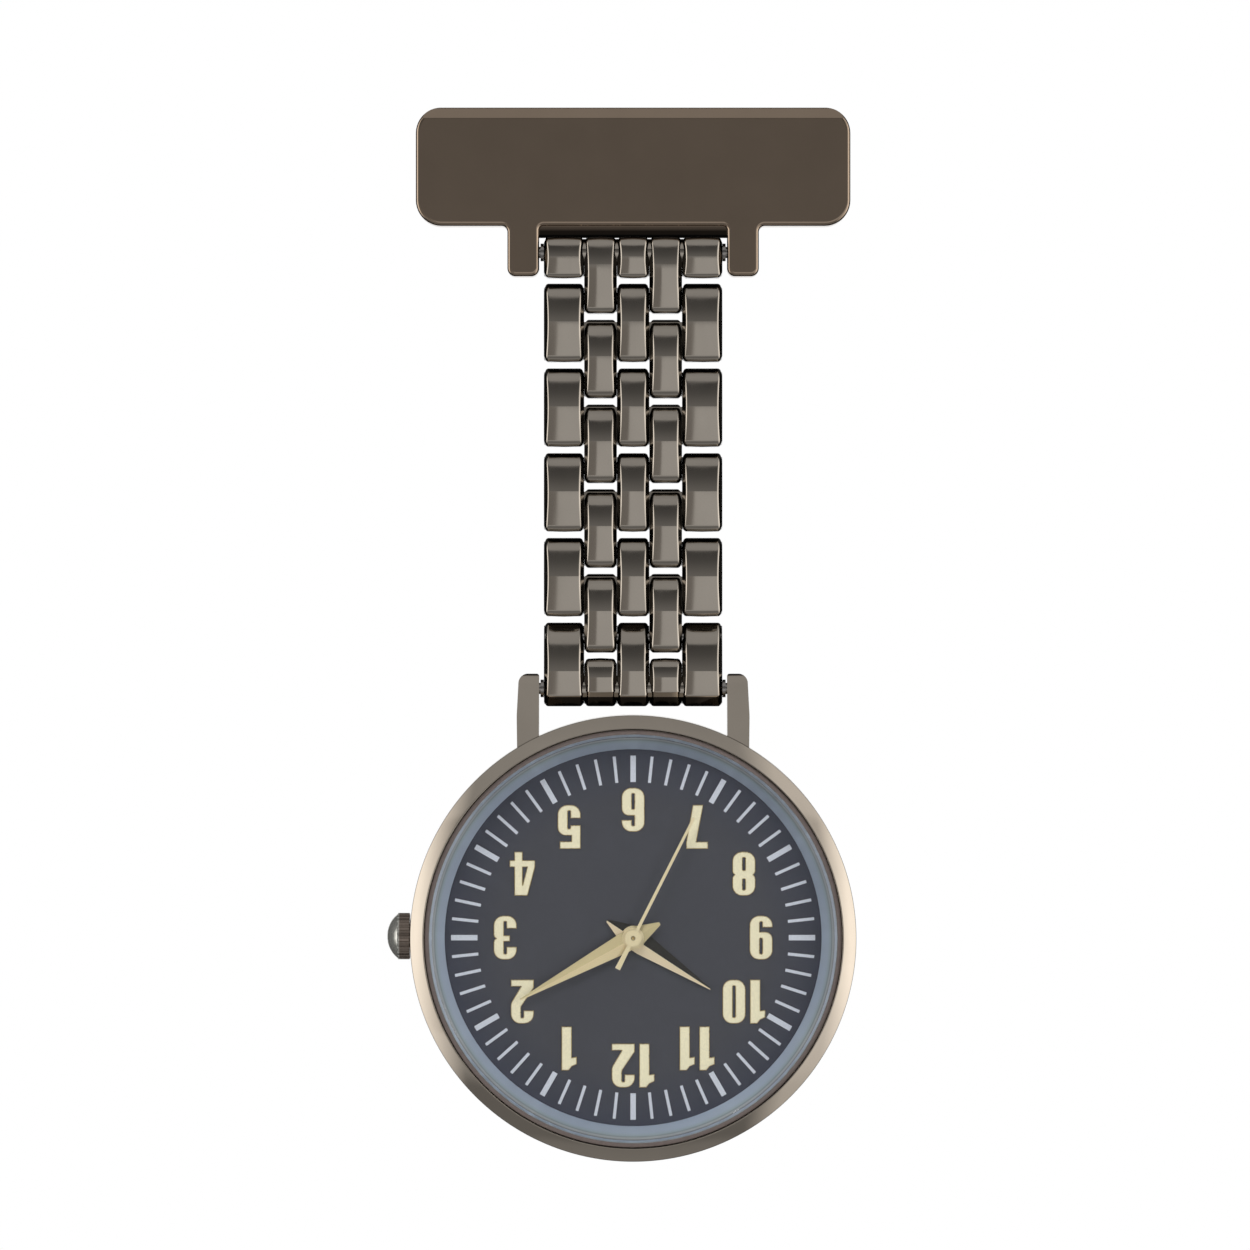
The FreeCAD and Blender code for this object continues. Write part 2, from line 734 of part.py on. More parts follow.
def numeral_faces():
    """The twelve hour numerals as flat faces, each in a list of its digits."""
    faces = []
    for hour in range(1, 13):
        digits = [digit(int(c)) for c in str(hour)]
        spacing = 0.33
        width = sum(d[0] for d in digits) + spacing * (len(digits) - 1)
        angle = math.radians(30 * hour)
        centre_u, centre_v = 9.45 * math.sin(angle), 9.45 * math.cos(angle)
        start = centre_u - width / 2
        for digit_width, outline, counters in digits:
            # the dial is upside down on the hanging watch, so both directions are reversed
            place = lambda u, v, s=start: vec(
                -(s + u), CASE_BACK_Y - DIAL_TOP, CASE_Z - (centre_v - DIGIT_HEIGHT / 2 + v)
            )
            wires = [rounded_wire(c, place) for c in [outline, *counters]]
            face = Part.Face(wires[0])
            for wire in wires[1:]:
                face = face.cut(Part.Face(wire))
            faces.append(face.Faces[0])
            start += digit_width + spacing
    return faces


def dial_parts():
    keep("dial", ring(15.0, 0.75, 3.95, DIAL_TOP))
    rims, fills = [], []
    rim_height, fill_height, rim_width = 0.07, 0.12, 0.055
    for face in numeral_faces():
        rims.append(face.extrude(vec(0, -rim_height, 0)))
        inner = face.makeOffset2D(-rim_width)
        raised = inner.extrude(vec(0, rim_height - fill_height, 0))
        raised.translate(vec(0, -rim_height, 0))
        fills.append(raised)
    keep("numeral_rims", *rims)
    keep("numeral_fills", *fills)

    marks = []
    for minute in range(60):
        half = 0.2 if minute % 5 == 0 else 0.11
        mark = plate([(-half, 11.5), (half, 11.5), (half, 13.45), (-half, 13.45)], DIAL_TOP, 4.34)
        mark.rotate(vec(0, 0, CASE_Z), vec(0, 1, 0), 6 * minute)
        marks.append(mark)
    keep("minute_track", *marks)


def ridged_blade(outline, low, edge, ridge):
    """A blade with a ridge along its middle. The outline is its right half, as (x, z), tip first."""
    widest = max(x for x, z in outline)

    def at(x, z, height):
        return vec(x, CASE_BACK_Y - height, CASE_Z + z)

    def crest(point):
        return at(0, point[1], edge + (ridge - edge) * point[0] / widest)

    around = outline + [(-x, z) for x, z in reversed(outline)]
    faces = [[at(x, z, low) for x, z in around]]
    for i, (x, z) in enumerate(around):
        next_x, next_z = around[(i + 1) % len(around)]
        faces.append([at(x, z, low), at(next_x, next_z, low), at(next_x, next_z, edge), at(x, z, edge)])
    for here, ahead in zip(outline, outline[1:]):
        for side in (1, -1):
            outer = [at(side * here[0], here[1], edge), at(side * ahead[0], ahead[1], edge)]
            faces.append([*outer, crest(ahead), crest(here)])
    for x, z in (outline[0], outline[-1]):
        faces.append([at(x, z, edge), crest((x, z)), at(-x, z, edge)])
    shell = Part.makeShell([Part.Face(Part.makePolygon([*f, f[0]])) for f in faces])
    blade = Part.makeSolid(shell)
    if blade.Volume < 0:
        blade.reverse()
    return blade


def pointed_hand(length, tail, width, levels, boss, bore, angle):
    """A hand that tapers from its boss to a point both ways, pointing at 12 before it is turned."""
    low, edge, ridge = levels
    half = width / 2
    outline = [(0.06, length), (half, 0.9), (half, -0.45), (0.11, -tail)]
    hand = ridged_blade(outline, low, edge, ridge).fuse(disc(boss, low - 0.04, ridge))
    hand = hand.cut(disc(bore, low - 1, ridge + 1))
    hand.rotate(vec(0, 0, CASE_Z), vec(0, 1, 0), 180 + angle)
    return hand


def hands():
    keep("hour_hand", pointed_hand(6.85, 2.3, 1.65, (4.58, 4.62, 4.84), 0.9, 0.65, HOUR_ANGLE))
    keep("minute_hand", pointed_hand(9.5, 2.25, 1.48, (4.93, 4.97, 5.14), 0.8, 0.4, MINUTE_ANGLE))
    low, high = 5.24, 5.34
    pointer = plate([(-0.12, 0), (0.12, 0), (0.1, 9.95), (-0.1, 9.95)], low, high)
    counterweight = plate([(-0.14, 0), (0.14, 0), (0.2, -2.55), (-0.2, -2.55)], low, high)
    second = fused([pointer, counterweight, disc(0.62, 5.2, 5.4)]).cut(disc(0.16, 5, 6))
    second.rotate(vec(0, 0, CASE_Z), vec(0, 1, 0), 180 + SECOND_ANGLE)
    keep("second_hand", second)


# ---------------------------------------------------------------- movement
def gear(teeth, module, low, high, centre, phase):
    """A flat gear with straight-sided teeth. phase is one tooth's direction, in radians."""
    pitch_radius = module * teeth / 2
    root, tip = pitch_radius - 1.2 * module, pitch_radius + 0.85 * module
    step = 2 * math.pi / teeth
    points = []
    for i in range(teeth):
        middle = phase + i * step
        for radius, share in ((root, -0.29), (tip, -0.1), (tip, 0.1), (root, 0.29)):
            angle = middle + share * step
            x = centre[0] + radius * math.cos(angle)
            z = CASE_Z + centre[1] + radius * math.sin(angle)
            points.append(vec(x, CASE_BACK_Y - low, z))
    return Part.Face(Part.makePolygon([*points, points[0]])).extrude(vec(0, low - high, 0))


def direction(start, end):
    return math.atan2(end[1] - start[1], end[0] - start[0])


def meshed(driver_centre, driven_centre, driven_teeth):
    """Phases that put a tooth of the first gear in a gap of the second."""
    towards = direction(driver_centre, driven_centre)
    return towards, towards + math.pi + math.pi / driven_teeth


def arbor(centre, low, high, radius=0.15):
    """A shaft with a thin pivot at each end, in the bridge and in the main plate."""
    pivot = 0.1
    body = disc(radius, 1.4, 2.7, centre)
    return fused([body, disc(pivot, low, 1.4, centre), disc(pivot, 2.7, high, centre)])


def gear_train():
    origin = (0, 0)
    module = 0.1
    coarse = 0.15
    centre_module = 7.2 / 68  # sixty and eight teeth on the third wheel's centre distance

    fifth_pinion, fourth_wheel = meshed(FIFTH_CENTRE, origin, 40)
    fourth_pinion, third_wheel = meshed(origin, THIRD_CENTRE, 64)
    third_pinion, centre_wheel = meshed(THIRD_CENTRE, origin, 60)
    rotor_pinion, fifth_wheel = meshed(ROTOR_CENTRE, FIFTH_CENTRE, 48)
    cannon_pinion, minute_wheel = meshed(origin, MINUTE_WHEEL_CENTRE, 30)
    minute_pinion, hour_wheel = meshed(MINUTE_WHEEL_CENTRE, origin, 32)

    keep(
        "seconds_wheel",
        fused(
            [
                gear(40, coarse, 1.55, 1.7, origin, fourth_wheel),
                gear(8, module, 1.9, 2.2, origin, fourth_pinion),
                disc(0.12, 1.15, 5.44),
            ]
        ),
    )
    keep(
        "third_wheel",
        fused(
            [
                gear(64, module, 1.95, 2.1, THIRD_CENTRE, third_wheel),
                gear(8, centre_module, 2.28, 2.58, THIRD_CENTRE, third_pinion),
                arbor(THIRD_CENTRE, 1.1, 2.95),
            ]
        ),
    )
    keep(
        "fifth_wheel",
        fused(
            [
                gear(48, module, 1.95, 2.1, FIFTH_CENTRE, fifth_wheel),
                gear(8, coarse, 1.5, 1.78, FIFTH_CENTRE, fifth_pinion),
                arbor(FIFTH_CENTRE, 1.1, 2.95),
            ]
        ),
    )
    keep(
        "rotor",
        fused(
            [
                gear(8, module, 1.9, 2.2, ROTOR_CENTRE, rotor_pinion),
                disc(0.6, 1.42, 1.86, ROTOR_CENTRE),
                arbor(ROTOR_CENTRE, 1.1, 2.95),
            ]
        ),
    )
    centre = [
        gear(60, centre_module, 2.35, 2.5, origin, centre_wheel),
        gear(10, 0.12, 3.5, 3.65, origin, cannon_pinion),
        disc(0.4, 2.35, 5.1),
    ]
    keep("centre_wheel", fused(centre).cut(disc(0.17, 2, 6)))

    hour = [gear(32, 0.12, 3.69, 3.83, origin, hour_wheel), disc(0.65, 3.69, 4.78)]
    keep("hour_wheel", fused(hour).cut(disc(0.45, 3, 6)))

    minute = [
        gear(30, 0.12, 3.5, 3.65, MINUTE_WHEEL_CENTRE, minute_wheel),
        gear(8, 0.12, 3.65, 3.85, MINUTE_WHEEL_CENTRE, minute_pinion),
    ]
    keep("minute_wheel", fused(minute).cut(disc(0.28, 3, 4.5, MINUTE_WHEEL_CENTRE)))


PILLARS = [(8.9, -2.6), (-8.4, -4.0), (-8.0, 5.3), (4.6, -7.8)]
STATOR_POSTS = [(-5.1, 6.3), (0.3, 6.4)]


def movement_plates():
    pivots = [THIRD_CENTRE, FIFTH_CENTRE, ROTOR_CENTRE]
    parts = [disc(MOVEMENT_RADIUS, 2.75, 3.45)]
    parts += [disc(0.6, 1.35, 2.8, p) for p in PILLARS]
    parts += [disc(0.4, 1.8, 2.8, p) for p in STATOR_POSTS]
    parts.append(disc(0.27, 1.4, 2.8, lever_points()[0]))
    parts.append(disc(0.25, 3.4, 3.86, MINUTE_WHEEL_CENTRE))
    plate_solid = fused(parts)
    plate_solid = plate_solid.cut(disc(0.45, 2, 4)).cut(disc(CELL_RADIUS + 0.1, 2, 3.05, CELL_CENTRE))
    for centre in pivots:
        plate_solid = plate_solid.cut(disc(0.13, 2.7, 3.0, centre))
    for centre in PILLARS:
        plate_solid = plate_solid.cut(disc(0.25, 1.0, 2.3, centre))
    keep("main_plate", plate_solid)

    bridge = disc(MOVEMENT_RADIUS, 0.95, 1.35)
    bridge = bridge.cut(disc(CELL_RADIUS + 0.1, 0, 2, CELL_CENTRE)).cut(disc(0.15, 0, 2))
    for centre in pivots:
        bridge = bridge.cut(disc(0.13, 0, 2, centre))
    for centre in PILLARS:
        bridge = bridge.cut(disc(0.25, 0, 2, centre))
    keep("train_bridge", bridge)

    screws = []
    for centre in PILLARS:
        head = disc(0.55, 0.8, 0.95, centre)
        driver_slot = plate(
            [
                (centre[0] - 0.6, centre[1] - 0.08),
                (centre[0] + 0.6, centre[1] - 0.08),
                (centre[0] + 0.6, centre[1] + 0.08),
                (centre[0] - 0.6, centre[1] + 0.08),
            ],
            0.75,
            0.87,
        )
        screws.append(fused([head, disc(0.25, 0.95, 2.2, centre)]).cut(driver_slot))
    keep("bridge_screws", *screws)

    mount_ring = ring(13.7, MOVEMENT_RADIUS, 0.75, 3.95)
    keep("movement_ring", mount_ring.cut(rod_x(0.6, -15, -9, stem_y(), CASE_Z)))


def electric_parts():
    can = [(0, 0.95), (CELL_RADIUS, 0.95, 0.2), (CELL_RADIUS, 2.85), (2.7, 2.85), (2.7, 3.05), (0, 3.05)]
    keep("button_cell", turned(can, CELL_CENTRE))
    x, z = CELL_CENTRE
    strap = plate(
        [(x - 4.6, z - 0.8, 0.3), (x + 2.6, z - 0.8, 0.3), (x + 2.6, z + 0.8, 0.3), (x - 4.6, z + 0.8, 0.3)],
        0.81,
        0.95,
    )
    keep("cell_strap", strap)

    board = plate(
        [(-7.4, -6.8, 0.5), (-1.9, -7.4, 0.5), (-1.9, -3.4), (-2.4, -2.6), (-3.3, -1.6), (-6.6, -1.6, 0.5)],
        2.55,
        2.75,
    )
    keep("circuit_board", board)
    can_body = rod_x(0.5, -6.6, -2.6, CASE_BACK_Y - 2.05, CASE_Z - 4.4)
    keep("quartz_crystal", can_body)

    coil_height, coil_z = 2.04, 8.0
    core = plate([(-5.6, 7.6), (2.5, 7.6), (2.5, 8.4), (-5.6, 8.4)], 1.8, 2.1)
    winding = turned_x(
        [(-4.5, 0), (-4.5, 0.68), (-4.2, 0.68), (-4.2, 0.6), (1.2, 0.6), (1.2, 0.68), (1.5, 0.68), (1.5, 0)],
        CASE_BACK_Y - coil_height,
        CASE_Z + coil_z,
    )
    keep("coil", winding.cut(core))

    stator = plate(
        [
            (-5.8, 8.5),
            (-5.8, 2.6, 0.8),
            (-3.2, 2.6, 0.8),
            (-3.2, 5.9, 0.5),
            (2.6, 5.9, 0.5),
            (2.6, 8.5),
            (1.75, 8.5),
            (1.75, 6.9, 0.3),
            (-4.75, 6.9, 0.3),
            (-4.75, 8.5),
        ],
        1.5,
        1.8,
    )
    keep("stator", stator.cut(disc(0.75, 1, 3, ROTOR_CENTRE)), core)


LEVER_ARM = 1.5
CROWN_TRAVEL = 0.5
LEVER_POST_X = -7.7


def lever_points():
    """The setting lever's pivot, and its post in the stem's groove with the crown pushed in."""
    half_travel = CROWN_TRAVEL / 2
    reach = math.sqrt(LEVER_ARM**2 - half_travel**2)
    pivot = (LEVER_POST_X - half_travel, (LEVER_ARM + reach) / 2)
    return pivot, (LEVER_POST_X, pivot[1] - reach)


def setting_works():
    pivot, post = lever_points()
    towards = direction(pivot, post)
    side = (math.cos(towards + math.pi / 2) * 0.35, math.sin(towards + math.pi / 2) * 0.35)
    bar = plate(
        [
            (pivot[0] + side[0], pivot[1] + side[1]),
            (pivot[0] - side[0], pivot[1] - side[1]),
            (post[0] - side[0], post[1] - side[1]),
            (post[0] + side[0], post[1] + side[1]),
        ],
        1.42,
        1.6,
    )
    rounds = [disc(0.6, 1.42, 1.6, pivot), disc(0.35, 1.42, 1.6, post), disc(0.2, 1.6, 1.88, post)]
    lever = fused([bar, *rounds]).cut(disc(0.3, 1, 2, pivot))
    keep("setting_lever", lever)

    pinion = rod_x(0.6, -5.9, -4.9, stem_y(), CASE_Z).cut(rod_x(0.35, -7, -4, stem_y(), CASE_Z))
    teeth = 12
    for i in range(teeth):
        angle = 2 * math.pi * i / teeth
        notch_y = stem_y() + 0.62 * math.cos(angle)
        notch_z = CASE_Z + 0.62 * math.sin(angle)
        pinion = pinion.cut(rod_x(0.09, -5.95, -5.2, notch_y, notch_z))
    keep("clutch_pinion", pinion)


def build():
    brooch_bar()
    needle_hinge()
    needle()
    safety_catch()
    spring_bar("upper_spring_bar", UPPER_BAR_Z)
    spring_bar("lower_spring_bar", LOWER_BAR_Z)
    upper_end_link()
    for number in range(1, LINK_COUNT + 1):
        middle_link(number)
    lower_end_link()
    for number in range(1, LINK_COUNT + 2):
        link_pin(number)
    case_body()
    bezel_and_crystal()
    case_back()
    crown_parts()
    dial_parts()
    hands()
    gear_train()
    movement_plates()
    electric_parts()
    setting_works()
    os.makedirs("parts", exist_ok=True)
    for name, shape in NODES.items():
        shape.exportStep(f"parts/{name}.step")
        print(f"{name}: {len(shape.Solids)} solids, {shape.Volume:.3f} mm3, valid {shape.isValid()}")
    pivot = lever_points()[0]
    print(f"{len(NODES)} nodes; setting lever pivot at x {pivot[0]:.4f}, z {CASE_Z + pivot[1]:.4f}")


build()
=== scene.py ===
import bpy
import json
import math
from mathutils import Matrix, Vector


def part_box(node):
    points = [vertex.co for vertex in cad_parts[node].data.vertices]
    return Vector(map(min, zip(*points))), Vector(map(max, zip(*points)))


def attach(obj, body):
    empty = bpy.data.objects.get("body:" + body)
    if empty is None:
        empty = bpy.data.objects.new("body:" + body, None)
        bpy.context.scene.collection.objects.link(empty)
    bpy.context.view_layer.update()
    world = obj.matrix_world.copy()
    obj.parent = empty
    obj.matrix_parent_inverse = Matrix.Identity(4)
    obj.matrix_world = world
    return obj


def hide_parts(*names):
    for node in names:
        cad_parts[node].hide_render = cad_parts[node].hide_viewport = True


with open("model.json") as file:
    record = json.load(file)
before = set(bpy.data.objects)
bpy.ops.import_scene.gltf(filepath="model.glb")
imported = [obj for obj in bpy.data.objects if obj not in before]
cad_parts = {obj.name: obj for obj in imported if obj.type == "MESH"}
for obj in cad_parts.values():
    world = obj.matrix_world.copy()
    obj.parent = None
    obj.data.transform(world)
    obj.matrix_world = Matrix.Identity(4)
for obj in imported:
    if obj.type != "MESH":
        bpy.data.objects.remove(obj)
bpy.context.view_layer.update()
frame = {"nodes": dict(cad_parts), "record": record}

# The picture: the watch seen square from the front, against white.
PICTURE_WIDTH = 0.0922  # how much the picture spans, at the watch
PICTURE_CENTRE = Vector((-0.0006, -0.005, -0.0349))
LENS = 200.0

MARK_DEPTH = 0.00001  # of the fine marks in every finish
GUNMETAL = (0.50, 0.45, 0.39)
SLATE_WITH_RIM_SHADE = [(0.010, (0.055, 0.055, 0.066)), (0.014, (0.036, 0.039, 0.060))]  # by distance from the middle: the dial's slate colour, with painted shade darkening it towards the rim
HEAD_RADIUS = 0.0165
# The ring round the dial, by distance from its middle.
RINGS = [
    (0.01440, (0.43, 0.50, 0.60)),
    (0.01462, (0.38, 0.46, 0.50)),
    (0.01468, (0.22, 0.26, 0.27)),
    (0.01476, (0.45, 0.48, 0.50)),
    (0.01486, (0.43, 0.45, 0.46)),
    (0.01492, (0.16, 0.17, 0.17)),
    (0.01500, (0.24, 0.24, 0.23)),
]
# The hands' facets, by how far they lean, with painted light and shade: painted light on one side of the
# ridge, painted shade on the other, and nearly black painted shade on the edge of that side.
FACET_LIGHT_AND_SHADE = [
    (-0.17, (0.92, 0.76, 0.50)),
    (-0.13, (0.86, 0.70, 0.40)),
    (-0.025, (0.86, 0.70, 0.40)),
    (-0.015, (0.90, 0.76, 0.46)),
    (0.015, (0.90, 0.76, 0.46)),
    (0.025, (0.62, 0.51, 0.27)),
    (0.17, (0.62, 0.51, 0.27)),
    (0.20, (0.012, 0.010, 0.006)),
]
# The recess between the bar's two fingers, where the bar's colour carries painted shade.
RECESS_HALF_WIDTH = 0.00694
RECESS_TOP = -0.00539
RECESS_HEIGHT = 0.0006
CROWN_CAP = 0.0009  # the length of the crown's cap
CHAMFER_SHADE_HEIGHT = 0.0007  # of the painted shade on the chamfer along the bottom of the bracelet

# What the metal reflects from in front, from straight below (-1) to straight above (1).
FRONT_BANDS = [
    (-1.0, 0.30),
    (-0.90, 0.27),
    (-0.86, 0.20),
    (-0.66, 0.20),
    (-0.58, 0.40),
    (-0.40, 0.53),
    (-0.09, 0.56),
    (-0.075, 0.25),
    (0.05, 0.22),
    (0.30, 0.11),
    (0.46, 0.075),
    (0.50, 0.40),
    (0.80, 0.42),
    (1.0, 0.36),
]
# A darker patch there, below the middle and to the left: its colour, and its share by height and by side.
LOW_LEFT = (0.24, 0.23, 0.22)
LOW_LEFT_HEIGHTS = [(-0.45, 0.0), (-0.43, 1.0), (-0.09, 1.0), (-0.075, 0.0)]
LOW_LEFT_SIDES = [(-0.13, 1.0), (-0.10, 0.0)]
# The light at the sides: its colour, and its share from the far left (-1) to the far right (1).
SIDE_LIGHT = (1.80, 1.76, 1.70)
SIDE_SHARES = [
    (-0.93, 1.0),
    (-0.80, 0.40),
    (-0.70, 0.0),
    (0.47, 0.0),
    (0.62, 0.32),
    (0.80, 0.36),
    (0.93, 1.0),
]
# The room behind the watch, dark with the white backdrop straight behind (1), and its share.
ROOM = [(0.0, 0.02), (0.90, 0.03), (0.97, 1.0)]
ROOM_SHARES = [(-0.06, 0.0), (0.06, 1.0)]


# ---------------------------------------------------------------- node helpers
def new_material(name):
    material = bpy.data.materials.new(name)
    material.use_nodes = True
    nodes = material.node_tree.nodes
    nodes.clear()
    output = nodes.new("ShaderNodeOutputMaterial")
    shader = nodes.new("ShaderNodeBsdfPrincipled")
    material.node_tree.links.new(shader.outputs[0], output.inputs[0])
    return material, material.node_tree, shader


def link(tree, source, target):
    tree.links.new(source, target)


def place(tree, kind="Object"):
    """A point's place on its object. "Normal" is the way its surface faces there, and "Generated" is the
    direction of a ray in a world."""
    return tree.nodes.new("ShaderNodeTexCoord").outputs[kind]


def axes(tree, vector):
    """A vector's X, Y and Z."""
    node = tree.nodes.new("ShaderNodeSeparateXYZ")
    link(tree, vector, node.inputs[0])
    return node.outputs


def noise(tree, scale, detail=3.0, stretch=(1, 1, 1)):
    """Noise in object space, stretched along the axes. scale is in lumps per metre."""
    mapping = tree.nodes.new("ShaderNodeMapping")
    mapping.inputs["Scale"].default_value = stretch
    texture = tree.nodes.new("ShaderNodeTexNoise")
    texture.inputs["Scale"].default_value = scale
    texture.inputs["Detail"].default_value = detail
    link(tree, place(tree), mapping.inputs["Vector"])
    link(tree, mapping.outputs["Vector"], texture.inputs["Vector"])
    return texture.outputs["Fac"]


def ramp(tree, value, stops):
    """A colour ramp. Its stops are (position, grey or colour)."""
    node = tree.nodes.new("ShaderNodeValToRGB")
    elements = node.color_ramp.elements
    elements[0].position = stops[0][0]
    elements[1].position = stops[-1][0]
    for stop in stops[1:-1]:
        elements.new(stop[0])
    for element, stop in zip(elements, stops):
        colour = stop[1] if isinstance(stop[1], tuple) else (stop[1],) * 3
        element.color = (*colour, 1)
    link(tree, value, node.inputs["Fac"])
    return node.outputs["Color"]


def toned(tree, shader, socket, value, low, high, edges=(0.3, 0.7)):
    """Drives one of a shader's sockets from low to high by a noise value."""
    link(tree, ramp(tree, value, [(edges[0], low), (edges[1], high)]), shader.inputs[socket])


def bump(tree, shader, height, strength):
    node = tree.nodes.new("ShaderNodeBump")
    node.inputs["Strength"].default_value = strength
    node.inputs["Distance"].default_value = MARK_DEPTH
    link(tree, height, node.inputs["Height"])
    link(tree, node.outputs["Normal"], shader.inputs["Normal"])


def mixed(tree, factor, a, b):
    """A blend of two colours, each a tuple or a socket."""
    node = tree.nodes.new("ShaderNodeMix")
    node.data_type = "RGBA"
    link(tree, factor, node.inputs[0])
    for socket, value in ((node.inputs[6], a), (node.inputs[7], b)):
        if isinstance(value, tuple):
            socket.default_value = (*value, 1)
        else:
            link(tree, value, socket)
    return node.outputs[2]


def math_node(tree, operation, a, b=None):
    node = tree.nodes.new("ShaderNodeMath")
    node.operation = operation
    for socket, value in zip(node.inputs, (a, b)):
        if value is None:
            continue
        if isinstance(value, (int, float)):
            socket.default_value = value
        else:
            link(tree, value, socket)
    return node.outputs[0]


def scaled(colour, factor):
    return tuple(min(1.0, c * factor) for c in colour)


# ---------------------------------------------------------------- materials
def polished_metal(name, colour, roughness=0.10):
    """Plated, polished metal: faint patches in its tone and gloss, and hairline marks from wear."""
    material, tree, shader = new_material(name)
    shader.inputs["Metallic"].default_value = 1.0
    patches = noise(tree, 260, 4)
    toned(tree, shader, "Base Color", patches, scaled(colour, 0.96), scaled(colour, 1.03))
    marks = noise(tree, 900, 6, (1, 1, 0.18))
    toned(tree, shader, "Roughness", marks, roughness * 0.75, roughness * 1.5, (0.3, 0.75))
    bump(tree, shader, marks, 0.02)
    return material


def darkened(material, factor, colour):
    """Paints shade into a polished metal: blends its colour towards another, where the factor is high."""
    tree = material.node_tree
    shader = next(node for node in tree.nodes if node.type == "BSDF_PRINCIPLED")
    before = shader.inputs["Base Color"].links[0].from_socket
    link(tree, mixed(tree, factor, before, colour), shader.inputs["Base Color"])
    return material


def link_metal_with_painted_shade(name, colour):
    """Polished metal with painted shade on the sides and ends of the bracelet's blocks: its colour is
    darkened where the surface faces sideways, up or down.
    """
    material = polished_metal(name, colour)
    tree = material.node_tree
    facing = axes(tree, place(tree, "Normal"))
    sides = ramp(tree, math_node(tree, "ABSOLUTE", facing["X"]), [(0.68, 0.0), (0.84, 1.0)])
    ends = ramp(tree, math_node(tree, "ABSOLUTE", facing["Z"]), [(0.86, 0.0), (0.96, 1.0)])
    return darkened(material, math_node(tree, "MAXIMUM", sides, ends), scaled(colour, 0.12))


def end_link_metal_with_painted_shade(name, colour, top):
    """The bracelet's metal, with painted shade on what faces forward below the height of top: the chamfer
    there is painted dark.
    """
    material = link_metal_with_painted_shade(name, colour)
    tree = material.node_tree
    below = math_node(tree, "LESS_THAN", axes(tree, place(tree))["Z"], top)
    front = math_node(tree, "LESS_THAN", axes(tree, place(tree, "Normal"))["Y"], 0.0)
    return darkened(material, math_node(tree, "MULTIPLY", below, front), scaled(colour, 0.08))


def bar_metal_with_painted_shade(name, colour):
    """Polished metal with painted shade in the recess between the bar's two fingers, above the upper end
    link, darker further down.
    """
    material = polished_metal(name, colour)
    tree = material.node_tree
    at = axes(tree, place(tree))
    between = math_node(tree, "LESS_THAN", math_node(tree, "ABSOLUTE", at["X"]), RECESS_HALF_WIDTH)
    down = math_node(tree, "SUBTRACT", RECESS_TOP, at["Z"])
    depth = math_node(tree, "DIVIDE", down, RECESS_HEIGHT)
    shade = ramp(tree, depth, [(0.0, 0.0), (0.12, 0.35), (0.35, 0.6), (0.6, 0.96)])
    return darkened(material, math_node(tree, "MULTIPLY", shade, between), scaled(colour, 0.05))


def crown_metal_with_painted_light(name, join, barrel, cap):
    """Plated metal with painted light and shade: the fluted barrel is painted darker and the cap lighter.
    join is where they meet, along X.
    """
    material, tree, shader = new_material(name)
    shader.inputs["Metallic"].default_value = 0.8
    spread = 0.001
    share = math_node(tree, "SUBTRACT", axes(tree, place(tree))["X"], join - spread)
    share = math_node(tree, "DIVIDE", share, 2 * spread)
    link(tree, ramp(tree, share, [(0.47, cap), (0.53, barrel)]), shader.inputs["Base Color"])
    toned(tree, shader, "Roughness", noise(tree, 2500, 3), 0.17, 0.22)
    return material


def brushed_metal(name, colour, roughness=0.3, stretch=(0.04, 1, 1)):
    """Metal with a fine grain along one axis."""
    material, tree, shader = new_material(name)
    shader.inputs["Metallic"].default_value = 1.0
    grain = noise(tree, 9000, 3, stretch)
    toned(tree, shader, "Base Color", grain, scaled(colour, 0.88), scaled(colour, 1.08))
    toned(tree, shader, "Roughness", grain, roughness * 0.8, roughness * 1.3)
    bump(tree, shader, grain, 0.15)
    return material


def turned_metal(name, colour, centre, roughness=0.28):
    """Metal with fine rings about an axis along Y."""
    material, tree, shader = new_material(name)
    shader.inputs["Metallic"].default_value = 1.0
    offset = tree.nodes.new("ShaderNodeVectorMath")
    offset.operation = "SUBTRACT"
    offset.inputs[1].default_value = centre
    flat = tree.nodes.new("ShaderNodeVectorMath")
    flat.operation = "MULTIPLY"
    flat.inputs[1].default_value = (1, 0, 1)
    length = tree.nodes.new("ShaderNodeVectorMath")
    length.operation = "LENGTH"
    link(tree, place(tree), offset.inputs[0])
    link(tree, offset.outputs[0], flat.inputs[0])
    link(tree, flat.outputs[0], length.inputs[0])
    rings = tree.nodes.new("ShaderNodeTexNoise")
    rings.noise_dimensions = "1D"
    rings.inputs["Scale"].default_value = 9000
    rings.inputs["Detail"].default_value = 2
    link(tree, length.outputs["Value"], rings.inputs["W"])
    grain = rings.outputs["Fac"]
    toned(tree, shader, "Base Color", grain, scaled(colour, 0.9), scaled(colour, 1.06))
    toned(tree, shader, "Roughness", grain, roughness * 0.8, roughness * 1.3)
    bump(tree, shader, grain, 0.2)
    return material


def soft_material(name, colour, roughness, grain_scale=4000, grain=0.1):
    """Paint, print, plastic or rubber with a fine grain."""
    material, tree, shader = new_material(name)
    specks = noise(tree, grain_scale, 3)
    toned(tree, shader, "Base Color", specks, scaled(colour, 1 - grain), scaled(colour, 1 + grain))
    toned(tree, shader, "Roughness", specks, roughness * 0.85, roughness * 1.15)
    bump(tree, shader, specks, 0.1)
    return material


